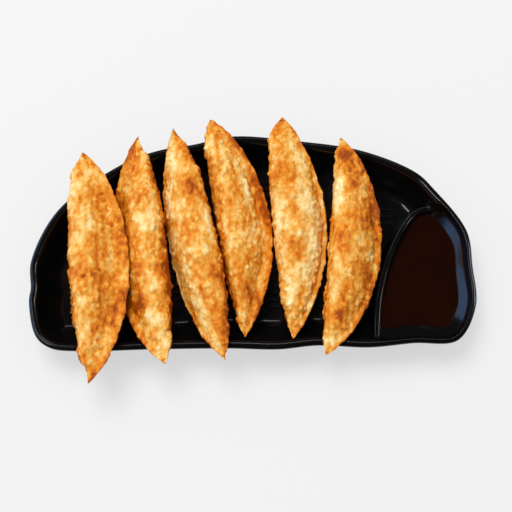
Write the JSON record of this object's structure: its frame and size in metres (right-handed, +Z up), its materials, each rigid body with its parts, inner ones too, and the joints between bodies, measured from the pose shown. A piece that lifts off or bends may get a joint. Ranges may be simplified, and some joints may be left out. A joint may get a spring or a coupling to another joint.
{
  "type": "plate of fried dumplings",
  "caption": "Half-moon dish with a ribbed floor and a sauce well, filled with long deep-fried half-moon dumplings and dark dipping sauce.",
  "frame": {"origin": "on the table under the middle of the whole's bounding box", "axes": "+X along the dish towards its sauce well, +Y from its straight front side to its arched back, +Z up"},
  "size_m": [0.219, 0.1348, 0.0325],
  "materials": {
    "black_melamine": "moulded melamine with a deep gloss",
    "dipping_sauce": "dark thin soy dip, mirror smooth",
    "fried_crust": "blistered golden fried dough, slightly oily"
  },
  "bodies": {
    "root": {"dish": "black_melamine", "sauce": "dipping_sauce", "dumpling_1": "fried_crust", "dumpling_2": "fried_crust", "dumpling_3": "fried_crust", "dumpling_4": "fried_crust", "dumpling_5": "fried_crust", "dumpling_6": "fried_crust"}
  },
  "joints": []
}
